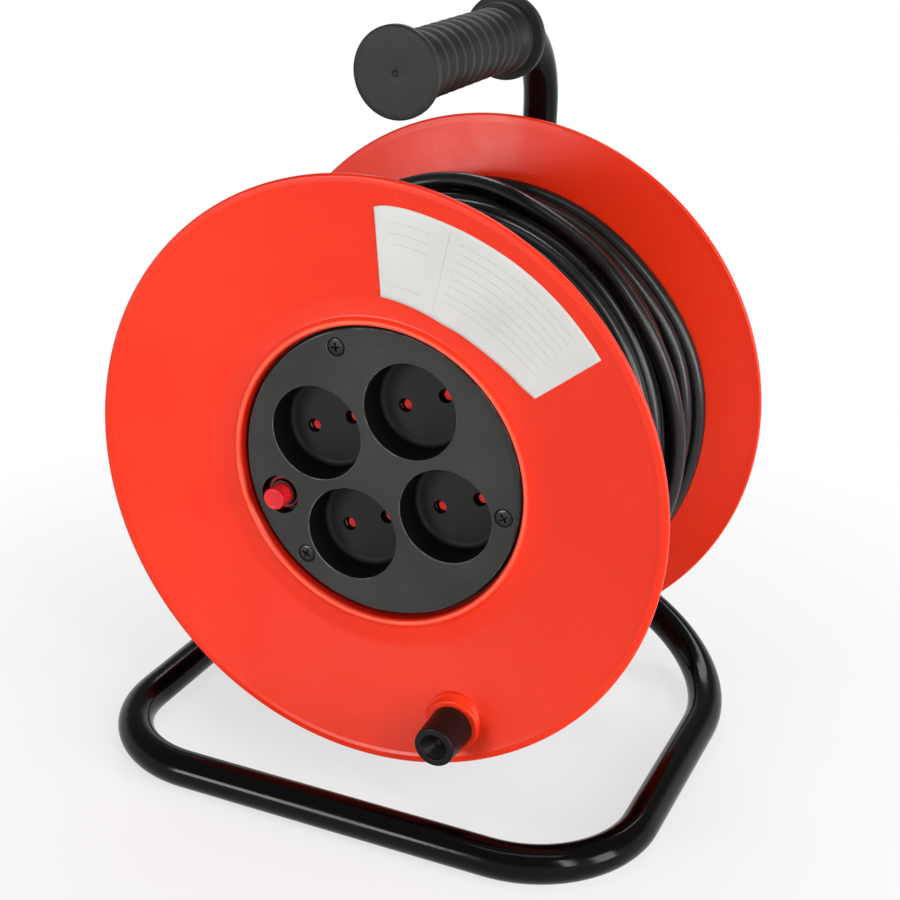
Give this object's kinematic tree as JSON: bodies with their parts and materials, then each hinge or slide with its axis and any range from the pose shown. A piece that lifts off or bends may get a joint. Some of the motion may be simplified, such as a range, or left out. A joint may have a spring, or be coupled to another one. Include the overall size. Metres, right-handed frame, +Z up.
{
  "type": "extension cord reel",
  "caption": "Extension cord reel: dished plastic drum with round socket outlets and a crank knob, on a bent tube stand with a ribbed grip, cable wound on and plug on its end.",
  "frame": {"origin": "on the floor under the middle of the reel's box", "axes": "+Z up, +Y from the front with the sockets to the back, along the drum's axle"},
  "size_m": [0.2526, 0.229, 0.3206],
  "materials": {
    "red_shell": "satin moulded orange-red",
    "signal_red": "semi-gloss",
    "black_plastic": "fine moulded texture",
    "dark_plastic": "plain moulded",
    "white_plastic": "plain moulded",
    "black_rubber": "dull",
    "black_cable": "smooth flexible sheath",
    "black_paint": "gloss black stove enamel",
    "bright_steel": "zinc plated",
    "dark_steel": "blackened",
    "contact_brass": "plain strip",
    "brown_wire": "insulated wire",
    "blue_wire": "insulated wire"
  },
  "bodies": {
    "stand": {"stand_tube": "black_paint", "grip": "black_rubber", "axle_bolt": "bright_steel", "axle_nut": "bright_steel", "front_washer": "bright_steel", "rear_washer": "bright_steel"},
    "drum": {"front_flange": "red_shell", "rear_flange": "red_shell", "barrel_screw_1": "bright_steel", "barrel_screw_2": "bright_steel", "barrel_screw_3": "bright_steel", "socket_plate": "black_plastic", "plate_screw_1": "dark_steel", "plate_screw_2": "dark_steel", "plate_screw_3": "dark_steel", "contact_carrier": "white_plastic", "shutter_spring_1": "bright_steel", "shutter_spring_2": "bright_steel", "shutter_spring_3": "bright_steel", "shutter_spring_4": "bright_steel", "contact_strip_inner": "contact_brass", "contact_strip_outer": "contact_brass", "contact_cover": "dark_plastic", "cover_screw": "bright_steel", "thermal_cutout": "dark_plastic", "button_collar": "signal_red", "reset_spring": "bright_steel", "inlet_grommet": "black_rubber", "inlet_lead": "black_cable", "lead_clamp": "dark_plastic", "clamp_screw_1": "bright_steel", "clamp_screw_2": "bright_steel", "wire_live": "brown_wire", "wire_switched": "brown_wire", "wire_neutral": "blue_wire", "cable_winding": "black_cable", "cable_core": "black_cable", "plug_body": "black_plastic", "plug_pin_1": "bright_steel", "plug_pin_2": "bright_steel", "knob_pin": "bright_steel", "hub_bush": "white_plastic"},
    "knob": {"crank_knob": "black_rubber"},
    "button": {"reset_button": "signal_red"},
    "shutter_1": {"shutter_1": "signal_red"},
    "shutter_2": {"shutter_2": "signal_red"},
    "shutter_3": {"shutter_3": "signal_red"},
    "shutter_4": {"shutter_4": "signal_red"}
  },
  "joints": [
    {"name": "drum_spin", "type": "hinge", "parent": "stand", "child": "drum", "pos_m": [0, -0.00679, 0.143], "axis": [0, 1, 0], "continuous": true},
    {"name": "knob_spin", "type": "hinge", "parent": "drum", "child": "knob", "pos_m": [0.03973, -0.08379, 0.04214], "axis": [0, 1, 0], "continuous": true},
    {"name": "reset_press", "type": "slide", "parent": "drum", "child": "button", "axis": [0, 1, 0], "range_m": [0, 0.0025], "stiffness_N_per_m": 400, "deforming": ["reset_spring"]},
    {"name": "shutter_1_slide", "type": "slide", "parent": "drum", "child": "shutter_1", "axis": [-0.3665, 0, 0.9304], "range_m": [0, 0.0068], "stiffness_N_per_m": 80, "deforming": ["shutter_spring_1"]},
    {"name": "shutter_2_slide", "type": "slide", "parent": "drum", "child": "shutter_2", "axis": [-0.3665, 0, 0.9304], "range_m": [0, 0.0068], "stiffness_N_per_m": 80, "deforming": ["shutter_spring_2"]},
    {"name": "shutter_3_slide", "type": "slide", "parent": "drum", "child": "shutter_3", "axis": [-0.3665, 0, 0.9304], "range_m": [0, 0.0068], "stiffness_N_per_m": 80, "deforming": ["shutter_spring_3"]},
    {"name": "shutter_4_slide", "type": "slide", "parent": "drum", "child": "shutter_4", "axis": [-0.3665, 0, 0.9304], "range_m": [0, 0.0068], "stiffness_N_per_m": 80, "deforming": ["shutter_spring_4"]}
  ]
}
